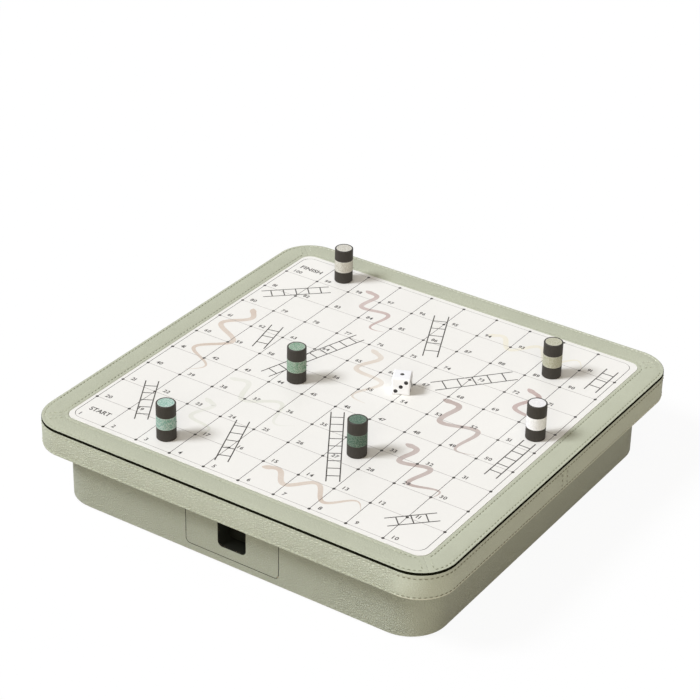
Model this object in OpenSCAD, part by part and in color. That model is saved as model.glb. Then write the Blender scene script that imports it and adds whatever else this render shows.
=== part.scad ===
// Snakes and ladders board: a leather-covered board top on a base with a drawer, six counters and a die.
// The origin is the middle of the underside, on the table. +Z is up, and the drawer opens towards -Y.
// Sizes are in millimetres.

/* [Board top] */
// Side of the square board top, with its leather
top_w = 400; // [320:1:480]
// Corner radius of the board top
top_r = 33; // [24:1:60]
// Thickness of the board top, with its leather
top_t = 25; // [20:0.5:40]
// Width of the leather frame on the top face
frame_w = 22.8; // [16:0.1:40]
// Thickness of the leather frame on the top face
frame_t = 2.4; // [1.5:0.1:4]
// Thickness of the leather band round the edge
band_t = 1.6; // [1:0.1:3]
// Thickness of the leather under the board top
under_t = 1.2; // [0.8:0.1:2]
// Gap between neighbouring frame strips at their mitres
mitre_gap = 0.2; // [0.1:0.05:0.5]

/* [Playing panel] */
// Plain margin outside the squares
panel_margin = 4.5; // [2:0.5:8]
// Corner radius of the panel
panel_r = 10; // [4:1:20]
// Gap between the panel and the leather frame
panel_gap = 0.2; // [0.1:0.05:0.5]

/* [Base] */
// Distance that the board top reaches past the base on each side
overhang = 17; // [0:0.5:40]
// Corner radius of the base
base_r = 33; // [22:1:45]
// Height of the base, from the table to the board top
base_h = 54; // [50:0.5:80]
// Thickness of the leather round the base
wrap_t = 1.4; // [0.8:0.1:2.5]
// Thickness of the wooden walls
wall_t = 14; // [10:0.5:18]
// Thickness of the wooden base plate
plate_t = 6; // [4:0.5:8]
// Thickness of the felt under the base
felt_t = 1.5; // [1:0.1:3]
// Distance from the base's edge to the felt
felt_inset = 5; // [3:0.5:12]

/* [Fixings] */
// Side of the square battens that carry the board top
cleat_w = 18; // [12:1:24]
// Distance from the corner posts to the ends of the battens
cleat_end = 34; // [5:1:60]
// Diameter of a wood screw's shank
screw_d = 4; // [3:0.5:5]
// Diameter of a wood screw's head
screw_head_d = 8; // [6:0.5:10]
// Length of a wood screw
screw_l = 30; // [24:1:34]
// Length of a wood screw's point
screw_tip = 4; // [2:0.5:6]
// Gap round a wood screw
screw_gap = 0.1; // [0.05:0.05:0.3]

/* [Drawer] */
// Width of the drawer front
drawer_w = 92; // [70:1:130]
// Length of the drawer, from its front to its back
drawer_l = 190; // [140:1:240]
// Corner radius of the drawer front
drawer_r = 4; // [1:0.5:6]
// Gap round the drawer front
drawer_gap = 0.6; // [0.3:0.1:1.5]
// Distance from the drawer front's rounded corners to the drawer's sides, so that these clear the opening
side_clear = 1; // [0.7:0.1:3]
// Thickness of the drawer's sides and back
drawer_side_t = 7; // [5:0.5:10]
// Thickness of the drawer's bottom
drawer_bottom_t = 3; // [2:0.5:5]
// Gap under the drawer's bottom
drawer_bottom_lift = 2; // [1:0.5:4]
// Thickness of the felt in the drawer
lining_t = 1; // [0.6:0.1:2]
// Gap between the felt and the drawer's sides
lining_gap = 0.5; // [0.2:0.1:2]
// Width of the finger window
window_w = 28; // [18:0.5:34]
// Height of the finger window
window_h = 27; // [16:0.5:28]
// Corner radius of the finger window
window_r = 4.5; // [1:0.5:8]
// Height of the wood under the finger window
window_sill = 9; // [6:0.5:14]

/* [Drawer housing] */
// Width of the guides beside the drawer
guide_w = 12; // [8:1:20]
// Height of the guides and of the stop behind the drawer
guide_h = 20; // [12:1:30]
// Gap between the drawer and its guides
guide_gap = 0.5; // [0.3:0.1:1]
// Thickness of the stop behind the drawer
stop_t = 10; // [6:1:16]
// Thickness of the catch that keeps the open drawer in
catch_t = 10; // [6:1:16]
// Height of the catch
catch_h = 9; // [6:0.5:11]
// Gap between the catch and what passes it
catch_gap = 3; // [1:0.5:5]
// Gap between the drawer's back and the board top
back_gap = 2; // [1:0.5:3]

/* [Counters] */
// Diameter of a counter
counter_d = 16.8; // [13:0.1:22]
// Height of a counter's foot
foot_h = 11; // [6:0.5:16]
// Height of a counter's coloured ring
ring_h = 11; // [6:0.5:16]
// Height of a counter's cap
cap_h = 11; // [9:0.5:16]
// Width of the bevel on a counter's edges
counter_edge = 0.4; // [0.2:0.1:0.8]
// Diameter of the peg inside a counter
peg_d = 8; // [4:0.5:10]
// Length of the peg that enters the cap
peg_reach = 6; // [3:0.5:7]
// Width of the rim round a counter's top disc
rim_w = 1.2; // [0.6:0.1:2]
// Thickness of a counter's top disc
disc_t = 1.2; // [0.8:0.1:2]
// Depth of a counter's top disc below the rim
disc_drop = 0.2; // [0.1:0.05:0.4]
// Gap round the peg and the top disc
counter_fit = 0.1; // [0.05:0.05:0.2]

/* [Die] */
// Side of the die
die_w = 16; // [14:0.5:20]
// Radius of the die's edges
die_edge = 1.6; // [0.8:0.1:2.2]
// Diameter of a pip
pip_d = 3.5; // [2:0.1:3.8]
// Depth of a pip
pip_depth = 0.6; // [0.4:0.1:1.2]
// Distance from the die's side to the middle of an outer pip
pip_inset = 3.6; // [3.4:0.1:4.4]
// Gap round a pip
pip_gap = 0.05; // [0.03:0.01:0.1]
// Turn of the die on the board, in degrees
die_turn = 25; // [-45:1:45]

/* [Hidden] */
$fn = 64;

// Colours
leather = "#BFC3AB";
wood = "#C9AE85";
felt = "#57584C";
ivory = "#F3F1EA";
ebony = "#3A352F";
steel = "#B5B5B2";

// Squares along each side of the playing field
squares = 10;

// Each counter: name, colour, column and row of its square, and its offset from the square's middle
COUNTERS = [
    ["mint", "#B4CBBF", 2, 0, [-0.6, 0.8]],
    ["bone", "#D6D3C6", 1, 9, [-0.6, 0.2]],
    ["green", "#96B09B", 3, 4, [-1.1, -0.4]],
    ["forest", "#627867", 6, 2, [2.4, 1.5]],
    ["olive", "#BABAA0", 8, 8, [-0.1, -3]],
    ["white", "#F0EEE7", 9, 5, [4.2, 5]]
];
COUNTER_PARTS = ["foot", "ring", "cap", "disc"];

// The die's square and its offset from the square's middle
die_column = 5;
die_row = 5;
die_offset = [12.7, 2.9];

// Board top
top_z = base_h + top_t;
core_w = top_w - 2 * band_t;
core_r = top_r - band_t;
core_t = top_t - frame_t - under_t;
panel_hole_w = top_w - 2 * frame_w;
panel_hole_r = panel_r + panel_gap;
panel_w = panel_hole_w - 2 * panel_gap;
square_w = (panel_w - 2 * panel_margin) / squares;
mitre_shift = mitre_gap / sqrt(2);

// Base: faces of the wooden walls, and the corner posts between them
base_w = top_w - 2 * overhang;
wall_out = base_w / 2 - wrap_t;
wall_in = wall_out - wall_t;
wall_w = 2 * wall_out;
post_r = base_r - wrap_t;
post_c = wall_out - post_r;
post_screw = post_c + post_r / 2 * sin(45);
plate_z = felt_t + plate_t;
wall_h = base_h - plate_z;
wall_mid = wall_out - wall_t / 2;

// Drawer: its faces along Y and its heights
opening_w = drawer_w + 2 * drawer_gap;
opening_r = drawer_r + drawer_gap;
front_z = plate_z + drawer_gap;
front_h = base_h - drawer_gap - front_z;
window_z = front_z + window_sill;
drawer_front_y = -base_w / 2;
drawer_end_y = drawer_front_y + drawer_l;
drawer_back_y = drawer_end_y - drawer_side_t;
drawer_box_w = drawer_w - 2 * (drawer_r + side_clear);
drawer_side_mid = (drawer_box_w - drawer_side_t) / 2;
drawer_inner_w = drawer_box_w - 2 * drawer_side_t;
drawer_inner_l = drawer_back_y + wall_in;
side_h = base_h - catch_h - catch_gap - plate_z;
back_h = base_h - back_gap - plate_z;
drawer_bottom_z = plate_z + drawer_bottom_lift;
lining_z = drawer_bottom_z + drawer_bottom_t;

// Drawer housing
guide_x = drawer_box_w / 2 + guide_gap;
guide_y = guide_gap - wall_in;
guide_l = drawer_end_y + stop_t - guide_y;
catch_y = catch_gap - wall_in;
front_wall_l = post_c - opening_w / 2;
front_wall_mid = (post_c + opening_w / 2) / 2;

// Wood screws: through the base plate, and up through the battens
cleat_x = wall_in - cleat_w / 2;
cleat_z = base_h - cleat_w;
cleat_l = 2 * (post_c - cleat_end);
PLATE_SCREWS = concat(
    [for (x = [-1, 1], y = [-1, 1]) [x * post_screw, y * post_screw]],
    [for (x = [-1, 1]) [x * wall_mid, 0]],
    [for (x = [-1, 1]) [x * front_wall_mid, -wall_mid]],
    [[0, wall_mid]]
);
CLEAT_SCREWS = [for (x = [-1, 1], y = [-1, 0, 1]) [x * cleat_x, y * cleat_l / 3]];

// Counters and die
counter_h = foot_h + ring_h + cap_h;
disc_d = counter_d - 2 * rim_w;
pip_step = die_w / 2 - pip_inset;

// Reach of a cutting shape past the face that it cuts
cut = 1;

// Places of the pips of each number, in steps from the middle of a face
PIPS = [
    [[0, 0]],
    [[-1, 1], [1, -1]],
    [[-1, -1], [0, 0], [1, 1]],
    [for (u = [-1, 1], v = [-1, 1]) [u, v]],
    concat([[0, 0]], [for (u = [-1, 1], v = [-1, 1]) [u, v]]),
    [for (u = [-1, 1], v = [-1, 0, 1]) [u, v]]
];
// Each face of the die: its number and the turn that brings the top face there
DIE_FACES = [
    [1, [0, 0, 0]],
    [6, [180, 0, 0]],
    [3, [90, 0, 0]],
    [4, [-90, 0, 0]],
    [5, [0, 90, 0]],
    [2, [0, -90, 0]]
];

// Middle of a square along X or Y, from its column or row
function square_middle(n) = (n + 0.5 - squares / 2) * square_w;

// Rectangle with rounded corners, centred
module rounded_rect(w, l, r) {
    square([w - 2 * r, l], center = true);
    square([w, l - 2 * r], center = true);
    for (x = [-1, 1], y = [-1, 1])
        translate([x * (w / 2 - r), y * (l / 2 - r)])
            circle(r);
}

// Square plate with rounded corners, standing on z
module rounded_plate(w, r, t, z) {
    translate([0, 0, z])
        linear_extrude(t)
            rounded_rect(w, w, r);
}

// Skin of thickness t round a rounded square, from z up
module rounded_skin(w, r, t, h, z) {
    difference() {
        rounded_plate(w, r, h, z);
        rounded_plate(w - 2 * t, r - t, h + 2 * cut, z - cut);
    }
}

// Upright plate with rounded corners, centred on X, with its outer face at y and its lower edge at z
module upright_plate(w, h, r, t, y, z) {
    translate([0, y, z + h / 2])
        rotate([90, 0, 0])
            translate([0, 0, -t])
                linear_extrude(t)
                    rounded_rect(w, h, r);
}

// Block from its lowest corner and its size
module block(corner, size) {
    translate(corner)
        cube(size);
}

// Cylinder with bevelled edges
module bevelled_drum(d, h, top_edge, bottom_edge) {
    rotate_extrude()
        polygon([
            [0, 0],
            [d / 2 - bottom_edge, 0],
            [d / 2, bottom_edge],
            [d / 2, h - top_edge],
            [d / 2 - top_edge, h],
            [0, h]
        ]);
}

// Countersunk wood screw, grown by a gap, with its head at z = 0 and its point up
module wood_screw(gap) {
    head_r = screw_head_d / 2 + gap;
    shank_r = screw_d / 2 + gap;
    rotate_extrude()
        polygon([
            [0, 0],
            [head_r, 0],
            [shank_r, head_r - shank_r],
            [shank_r, screw_l - screw_tip + gap],
            [0, screw_l + gap]
        ]);
}

// Every wood screw at its place
module screw_set(gap) {
    for (p = PLATE_SCREWS)
        translate([p[0], p[1], felt_t])
            wood_screw(gap);
    for (p = CLEAT_SCREWS)
        translate([p[0], p[1], cleat_z])
            wood_screw(gap);
}

// Wooden core of the board top
module top_core() {
    color(wood)
        difference() {
            rounded_plate(core_w, core_r, core_t, base_h + under_t);
            screw_set(screw_gap);
        }
}

// Stiff printed panel with the hundred squares, let in flush with the leather frame
module playing_panel() {
    color(ivory)
        rounded_plate(panel_w, panel_r, frame_t, top_z - frame_t);
}

// One mitred leather strip of the frame round the panel
module frame_strip(turn) {
    color(leather)
        rotate([0, 0, turn])
            translate([0, 0, top_z - frame_t])
                linear_extrude(frame_t)
                    intersection() {
                        difference() {
                            rounded_rect(top_w, top_w, top_r);
                            rounded_rect(panel_hole_w, panel_hole_w, panel_hole_r);
                        }
                        translate([0, -mitre_shift])
                            polygon([[0, 0], [-top_w, -top_w], [top_w, -top_w]]);
                    }
}

// Leather band round the edge of the board top
module edge_band() {
    color(leather)
        rounded_skin(top_w, top_r, band_t, top_t - frame_t, base_h);
}

// Leather sheet under the board top
module underside_leather() {
    color(leather)
        difference() {
            rounded_plate(core_w, core_r, under_t, base_h);
            screw_set(screw_gap);
        }
}

// Wooden plate that closes the base and carries the drawer
module base_plate() {
    color(wood)
        difference() {
            rounded_plate(wall_w, post_r, plate_t, felt_t);
            screw_set(screw_gap);
        }
}

// Felt sheet that the board stands on
module base_felt() {
    color(felt)
        rounded_plate(base_w - 2 * felt_inset, base_r - felt_inset, felt_t, 0);
}

// Leather round the base, open where the drawer is
module base_wrap() {
    color(leather)
        difference() {
            rounded_skin(base_w, base_r, wrap_t, base_h - felt_t, felt_t);
            upright_plate(opening_w, base_h, opening_r, wrap_t + 2 * cut, -base_w / 2 - cut, plate_z);
        }
}

// Quarter-round wooden posts in the base's four corners
module corner_posts() {
    color(wood)
        difference() {
            for (turn = [0 : 90 : 270])
                rotate([0, 0, turn])
                    translate([post_c, post_c, plate_z])
                        intersection() {
                            cylinder(r = post_r, h = wall_h);
                            cube([post_r, post_r, wall_h]);
                        }
            screw_set(screw_gap);
        }
}

// Wooden side wall of the base, on the side that side names: -1 left, 1 right
module side_wall(side) {
    color(wood)
        difference() {
            translate([side * wall_mid, 0, plate_z + wall_h / 2])
                cube([wall_t, 2 * post_c, wall_h], center = true);
            screw_set(screw_gap);
        }
}

// Wooden back wall of the base
module back_wall() {
    color(wood)
        difference() {
            block([-post_c, wall_in, plate_z], [2 * post_c, wall_t, wall_h]);
            screw_set(screw_gap);
        }
}

// Wooden front wall beside the drawer, on the side that side names
module front_wall(side) {
    color(wood)
        difference() {
            translate([side * front_wall_mid, -wall_mid, plate_z + wall_h / 2])
                cube([front_wall_l, wall_t, wall_h], center = true);
            screw_set(screw_gap);
        }
}

// Battens inside the side walls that the board top is screwed to
module top_cleats() {
    color(wood)
        difference() {
            for (side = [-1, 1])
                translate([side * cleat_x, 0, cleat_z + cleat_w / 2])
                    cube([cleat_w, cleat_l, cleat_w], center = true);
            screw_set(screw_gap);
        }
}

// Screws that hold the base plate to the walls and the board top to the battens
module wood_screws() {
    color(steel)
        screw_set(0);
}

// Wooden guide beside the drawer, on the side that side names
module drawer_guide(side) {
    color(wood)
        translate([side * (guide_x + guide_w / 2), guide_y + guide_l / 2, plate_z + guide_h / 2])
            cube([guide_w, guide_l, guide_h], center = true);
}

// Wooden stop that the shut drawer's back meets
module drawer_stop() {
    color(wood)
        block([-guide_x, drawer_end_y, plate_z], [2 * guide_x, stop_t, guide_h]);
}

// Batten under the board top that the open drawer's back meets
module drawer_catch() {
    color(wood)
        block([-guide_x, catch_y, base_h - catch_h], [2 * guide_x, catch_t, catch_h]);
}

// Finger window through the drawer front
module finger_window() {
    through = wrap_t + wall_t + 2 * cut;
    upright_plate(window_w, window_h, window_r, through, drawer_front_y - cut, window_z);
}

// Wooden drawer front with its finger window
module drawer_front() {
    color(wood)
        difference() {
            upright_plate(drawer_w, front_h, drawer_r, wall_t, drawer_front_y + wrap_t, front_z);
            finger_window();
        }
}

// Leather on the drawer front
module drawer_facing() {
    color(leather)
        difference() {
            upright_plate(drawer_w, front_h, drawer_r, wrap_t, drawer_front_y, front_z);
            finger_window();
        }
}

// Wooden drawer side, on the side that side names
module drawer_side(side) {
    color(wood)
        translate([side * drawer_side_mid, drawer_inner_l / 2 - wall_in, plate_z + side_h / 2])
            cube([drawer_side_t, drawer_inner_l, side_h], center = true);
}

// Wooden drawer back, higher than the sides so that the catch meets it
module drawer_back() {
    color(wood)
        block([-drawer_box_w / 2, drawer_back_y, plate_z], [drawer_box_w, drawer_side_t, back_h]);
}

// Thin bottom of the drawer
module drawer_bottom() {
    color(wood)
        block(
            [-drawer_inner_w / 2, -wall_in, drawer_bottom_z],
            [drawer_inner_w, drawer_inner_l, drawer_bottom_t]
        );
}

// Felt on the drawer's bottom
module drawer_lining() {
    color(felt)
        block(
            [lining_gap - drawer_inner_w / 2, lining_gap - wall_in, lining_z],
            [drawer_inner_w - 2 * lining_gap, drawer_inner_l - 2 * lining_gap, lining_t]
        );
}

// Moves a counter's piece to its counter's place, at height z above the panel
module at_counter(c, z) {
    place = [square_middle(c[2]), square_middle(c[3])] + c[4];
    translate([place[0], place[1], top_z + z])
        children();
}

// Foot of a counter, turned in one piece with the peg that the rest is pushed on
module counter_foot(c) {
    color(ebony)
        at_counter(c, 0) {
            bevelled_drum(counter_d, foot_h, 0, counter_edge);
            cylinder(d = peg_d, h = foot_h + ring_h + peg_reach);
        }
}

// Coloured ring round the middle of a counter
module counter_ring(c) {
    color(c[1])
        at_counter(c, foot_h)
            difference() {
                cylinder(d = counter_d, h = ring_h);
                translate([0, 0, -cut])
                    cylinder(d = peg_d + 2 * counter_fit, h = ring_h + 2 * cut);
            }
}

// Cap of a counter, bored for the peg below and recessed for the disc above
module counter_cap(c) {
    recess = disc_t + disc_drop;
    color(ebony)
        at_counter(c, foot_h + ring_h)
            difference() {
                bevelled_drum(counter_d, cap_h, counter_edge, 0);
                translate([0, 0, -cut])
                    cylinder(d = peg_d + 2 * counter_fit, h = peg_reach + cut);
                translate([0, 0, cap_h - recess])
                    cylinder(d = disc_d, h = recess + cut);
            }
}

// Coloured disc let into the top of a counter
module counter_disc(c) {
    color(c[1])
        at_counter(c, counter_h - disc_t - disc_drop)
            cylinder(d = disc_d - 2 * counter_fit, h = disc_t);
}

// Moves the die's pieces to the die's place
module at_die() {
    place = [square_middle(die_column), square_middle(die_row)] + die_offset;
    translate([place[0], place[1], top_z + die_w / 2])
        rotate([0, 0, die_turn])
            children();
}

// Every pip of the die, grown by a gap and reaching past the face by over
module pip_set(gap, over) {
    for (face = DIE_FACES, p = PIPS[face[0] - 1])
        rotate(face[1])
            translate([p[0] * pip_step, p[1] * pip_step, die_w / 2 - pip_depth])
                cylinder(d = pip_d + 2 * gap, h = pip_depth + over);
}

// Body of the die, with rounded edges and a pocket for each pip
module die_body() {
    color(ivory)
        at_die()
            difference() {
                intersection_for(turn = [[0, 0, 0], [90, 0, 0], [0, 90, 0]])
                    rotate(turn)
                        linear_extrude(die_w, center = true)
                            rounded_rect(die_w, die_w, die_edge);
                pip_set(pip_gap, cut);
            }
}

// Dark pips that fill the die's pockets
module die_pips() {
    color(ebony)
        at_die()
            pip_set(0, 0);
}

// Board top
top_core();
playing_panel();
frame_strip(0);  // frame_front
frame_strip(90);  // frame_right
frame_strip(180);  // frame_back
frame_strip(270);  // frame_left
edge_band();
underside_leather();

// Base
base_plate();
base_felt();
base_wrap();
corner_posts();
side_wall(-1);  // left_wall
side_wall(1);  // right_wall
back_wall();
front_wall(-1);  // front_wall_left
front_wall(1);  // front_wall_right
top_cleats();
wood_screws();

// Drawer housing
drawer_guide(-1);  // drawer_guide_left
drawer_guide(1);  // drawer_guide_right
drawer_stop();
drawer_catch();

// Drawer
drawer_front();
drawer_facing();
drawer_side(-1);  // drawer_side_left
drawer_side(1);  // drawer_side_right
drawer_back();
drawer_bottom();
drawer_lining();

// Counters
for (c = COUNTERS) {
    counter_foot(c);
    counter_ring(c);
    counter_cap(c);
    counter_disc(c);
}

// Die
die_body();
die_pips();
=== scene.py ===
import math
import bpy
import numpy as np
from mathutils import Matrix, Vector


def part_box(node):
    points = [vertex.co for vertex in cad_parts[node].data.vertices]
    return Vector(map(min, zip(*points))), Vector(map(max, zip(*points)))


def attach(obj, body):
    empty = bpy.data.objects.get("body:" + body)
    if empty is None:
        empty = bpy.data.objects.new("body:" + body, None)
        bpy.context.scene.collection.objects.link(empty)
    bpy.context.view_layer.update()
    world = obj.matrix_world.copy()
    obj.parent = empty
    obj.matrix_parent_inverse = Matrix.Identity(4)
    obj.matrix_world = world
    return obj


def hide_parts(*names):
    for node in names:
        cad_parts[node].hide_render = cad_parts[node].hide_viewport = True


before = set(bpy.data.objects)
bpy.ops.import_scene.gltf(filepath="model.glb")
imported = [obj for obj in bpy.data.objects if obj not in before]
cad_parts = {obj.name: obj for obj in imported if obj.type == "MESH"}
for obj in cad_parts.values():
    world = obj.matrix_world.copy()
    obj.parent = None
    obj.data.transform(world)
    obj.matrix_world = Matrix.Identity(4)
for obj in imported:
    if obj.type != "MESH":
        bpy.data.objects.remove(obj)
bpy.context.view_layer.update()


# Wooden carcass: the core of the board top, and the plate, posts, walls and battens of the base.
# Planed birch boards, glued and screwed together before any leather goes on.
# The drawer's guides, stop and catch are of the same wood, glued inside the base.
MM = 0.001
SHARP_EDGE = math.radians(40)
birch_light = (214, 186, 146)
birch_dark = (182, 146, 104)
birch_fleck = (150, 112, 76)
planed_edge = 0.4 * MM
grain_draw = 0.06
ring_scale = 55.0
fleck_scale = 900.0
fleck_share = 0.6


class Wire:
    """An output in a material's nodes. A sum written with it adds Math nodes."""

    def __init__(self, socket):
        self.socket = socket
        self.tree = socket.id_data

    def node(self, kind, settings=(), sockets=(), output=0):
        """Adds a node: its settings come first, then the values or wires of its sockets."""
        made = self.tree.nodes.new(kind)
        for name, value in dict(settings).items():
            setattr(made, name, value)
        for name, value in dict(sockets).items():
            if isinstance(value, Wire):
                self.tree.links.new(value.socket, made.inputs[name])
            else:
                made.inputs[name].default_value = value
        return Wire(made.outputs[output])

    def into(self, shader, socket):
        self.tree.links.new(self.socket, shader.inputs[socket])

    def math(self, operation, first, second=0.0):
        return self.node("ShaderNodeMath", {"operation": operation}, {0: first, 1: second})

    def __add__(self, other):
        return self.math("ADD", self, other)

    def __radd__(self, other):
        return self.math("ADD", other, self)

    def __sub__(self, other):
        return self.math("SUBTRACT", self, other)

    def __rsub__(self, other):
        return self.math("SUBTRACT", other, self)

    def __mul__(self, other):
        return self.math("MULTIPLY", self, other)

    def __rmul__(self, other):
        return self.math("MULTIPLY", other, self)

    def __gt__(self, other):
        return self.math("GREATER_THAN", self, other)

    def __lt__(self, other):
        return self.math("LESS_THAN", self, other)

    def part(self, axis):
        """X, Y or Z of this place, as axis is 0, 1 or 2."""
        return self.node("ShaderNodeSeparateXYZ", (), {0: self}, axis)

    def size(self):
        return self.math("ABSOLUTE", self)

    def rise(self, low, high):
        """0 below low, 1 above high, and even between them."""
        return self.node("ShaderNodeMapRange", (), {"Value": self, "From Min": low, "From Max": high})

    def mix(self, low, high):
        """Colour that goes from low to high as this value goes from 0 to 1.

        A Mix node takes its colours at its inputs 6 and 7, and gives one at its output 2.
        """
        return self.node("ShaderNodeMix", {"data_type": "RGBA"}, {0: self, 6: low, 7: high}, 2)

    def stretched(self, scale):
        """This place, with each axis drawn out by its own number."""
        return self.node("ShaderNodeVectorMath", {"operation": "MULTIPLY"}, {0: self, 1: scale})

    def noise(self, scale, detail=2.0, roughness=0.5):
        sockets = {"Vector": self, "Scale": scale, "Detail": detail, "Roughness": roughness}
        return self.node("ShaderNodeTexNoise", (), sockets)

    def bump(self, strength, distance):
        return self.node("ShaderNodeBump", (), {"Strength": strength, "Distance": distance, "Height": self})


def tint(colour, shade=1.0):
    """Linear colour of an sRGB one out of 255, made darker or lighter by shade."""
    parts = [c / 255 for c in colour]
    linear = [c / 12.92 if c <= 0.04045 else ((c + 0.055) / 1.055) ** 2.4 for c in parts]
    return tuple(min(c * shade, 1.0) for c in linear) + (1.0,)


def new_finish(name, constants):
    """Material, its shader with its plain sockets set, and a wire with the place on the object."""
    material = bpy.data.materials.new(name)
    material.use_nodes = True
    tree = material.node_tree
    shader = tree.nodes["Principled BSDF"]
    for socket, value in constants.items():
        shader.inputs[socket].default_value = value
    return material, shader, Wire(tree.nodes.new("ShaderNodeTexCoord").outputs["Object"])


def birch(name, along, painted=None, paint=None):
    """Planed birch with its grain along an axis: 0, 1 or 2, and with paint where painted says."""
    material, shader, place = new_finish(name, {"Specular IOR Level": 0.3})
    drawn = [1.0, 1.0, 1.0]
    drawn[along] = grain_draw
    grain = place.stretched(drawn)
    bands = grain.noise(ring_scale, 3.0).rise(0.3, 0.7)
    flecks = grain.noise(fleck_scale, 3.0, 0.7).rise(0.6, 0.72)
    wood = bands.mix(tint(birch_light), tint(birch_dark))
    wood = (flecks * fleck_share).mix(wood, tint(birch_fleck))
    if painted:
        wood = painted(place).mix(wood, tint(paint))
    wood.into(shader, "Base Color")
    (0.55 + 0.2 * bands).into(shader, "Roughness")
    (1 - flecks).bump(0.15, 0.1 * MM).into(shader, "Normal")
    return material


def dress(names, finish, edge=None):
    """Gives CAD nodes their finish, and softens their sharp edges by that width, if they have one."""
    for name in names:
        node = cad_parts[name]
        node.data.materials.clear()
        node.data.materials.append(finish)
        if not edge:
            continue
        node.modifiers.new("joined_faces", "WELD").merge_threshold = 0.002 * MM
        soft = node.modifiers.new("soft_edges", "BEVEL")
        soft.width = edge
        soft.segments = 2
        soft.angle_limit = SHARP_EDGE
        soft.use_clamp_overlap = True
        node.modifiers.new("even_shading", "WEIGHTED_NORMAL").keep_sharp = True


birch_x = birch("birch_along_x", 0)
birch_y = birch("birch_along_y", 1)
birch_z = birch("birch_along_z", 2)
dress(["top_core", "base_plate", "back_wall", "front_wall_left", "front_wall_right"], birch_x, planed_edge)
dress(["drawer_stop", "drawer_catch"], birch_x, planed_edge)
dress(["left_wall", "right_wall", "top_cleats"], birch_y, planed_edge)
dress(["drawer_guide_left", "drawer_guide_right"], birch_y, planed_edge)
dress(["corner_posts"], birch_z, planed_edge)


# Wood screws: countersunk steel screws up through the base plate and through the battens.
# Drawn steel, zinc plated, a little uneven in its sheen.
zinc = (176, 178, 180)
screw_edge = 0.1 * MM

zinc_plate, shader, place = new_finish("zinc_plate", {"Metallic": 1.0})
sheen = place.noise(350.0, 3.0)
sheen.mix(tint(zinc, 0.85), tint(zinc, 1.1)).into(shader, "Base Color")
(0.28 + 0.2 * sheen).into(shader, "Roughness")
dress(["wood_screws"], zinc_plate, screw_edge)


# Leather round the base and under the board top: split cowhide, dyed sage and pressed with a pebble grain.
# One strip is glued round the base's walls and cut out for the drawer.
# A sheet closes the board top's overhang from below.
sage = (196, 200, 177)
sage_deep = (150, 153, 131)
base_sage = (164, 167, 151)
edge_dark = (20, 21, 12)
cut_edge = 0.5 * MM
pebble_scale = 480.0
pebble_wander = 0.9 * MM
pebble_slope = 0.28
crease_share = 0.4
pore_share = 0.25
grain_strength = 0.9
base_relief = 0.65 * MM
side_from = 158.0 * MM
side_to = 172.0 * MM
side_smooth = 0.6
opening_half = 47.2 * MM
opening_reach = 3.0 * MM
front_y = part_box("base_wrap")[0][1]


def leather(name, colour, crease_colour, relief, painted=None, paint=edge_dark):
    """Pebbled leather of a colour, rubbed smoother on the right side, and with another colour where painted
    says: edge paint on cut edges, a painted highlight on the band's lip.
    """
    material, shader, place = new_finish(name, {"Specular IOR Level": 0.35})
    wander = place.node("ShaderNodeTexNoise", (), {"Vector": place, "Scale": 420.0, "Detail": 2.0}, "Color")
    shifted = place.node("ShaderNodeVectorMath", {"operation": "MULTIPLY_ADD"},
                         {0: wander, 1: (pebble_wander,) * 3, 2: place})
    pebble = shifted.node("ShaderNodeTexVoronoi", {"feature": "DISTANCE_TO_EDGE"},
                          {"Vector": shifted, "Scale": pebble_scale})
    crown = pebble.rise(0.0, pebble_slope)
    raised = 1 - side_smooth * place.part(0).rise(side_from, side_to)
    clouds = place.noise(16.0, 4.0, 0.6)
    pores = place.noise(2600.0, 2.0)
    dyed = clouds.rise(0.3, 0.7).mix(tint(colour, 0.96), tint(colour, 1.035))
    dyed = (crease_share * raised * (1 - crown)).mix(dyed, tint(crease_colour))
    if painted:
        dyed = painted(place).mix(dyed, tint(paint))
    dyed.into(shader, "Base Color")
    (0.5 + 0.1 * clouds + 0.14 * (1 - crown)).into(shader, "Roughness")
    (raised * (crown + pore_share * pores)).bump(grain_strength, relief).into(shader, "Normal")
    return material


def cut_faces(place):
    """1 on the cut edges of a piece that faces front, 0 on its front and back."""
    facing = place.node("ShaderNodeNewGeometry", output="Normal")
    return 1 - facing.part(1).size().rise(0.45, 0.8)


def opening_edges(place):
    """1 on the cut edges round the drawer's opening, 0 elsewhere."""
    near = (place.part(0).size() < opening_half) * (place.part(1) < front_y + opening_reach)
    return cut_faces(place) * near


base_leather = leather("base_leather", base_sage, sage_deep, base_relief, opening_edges)
dress(["base_wrap"], base_leather)
dress(["underside_leather"], leather("underside_leather", sage, sage_deep, base_relief), cut_edge)


# Edge band: a strip of the same leather, turned round the side of the board top and glued.
# It is sewn along both edges, and its two ends meet on the right-hand side in a seam with a row on each side.
top_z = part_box("frame_front")[1][2]
top_half = 200.0 * MM
top_corner = 33.0 * MM
band_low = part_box("edge_band")[0][2]
band_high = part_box("edge_band")[1][2]
band_t = 1.6 * MM
band_edge = 0.5 * MM
band_turn = 0.15 * band_edge
run_step = 0.7 * MM
row_depth = 0.12 * MM
row_half = 0.65 * MM
row_pull = 0.12 * MM
band_rows = (band_low + 1.9 * MM, band_high - 3.4 * MM)
lap_y = 1.7 * MM
lap_depth = 0.45 * MM
lap_half = 0.5 * MM
lap_steps = 12
lap_rows = (lap_y - 4.1 * MM, lap_y + 4.1 * MM)
stitch_pitch = 4.4 * MM
stitch_l = 3.0 * MM
stitch_d = 0.7 * MM
stitch_slant = math.radians(7)
stitch_rings = 7
stitch_sides = 6
# The band's thread has the leather's colour; the pale and dark thread colours here are painted highlight and
# painted shade.
band_thread_highlight = (226, 224, 206)
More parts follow.
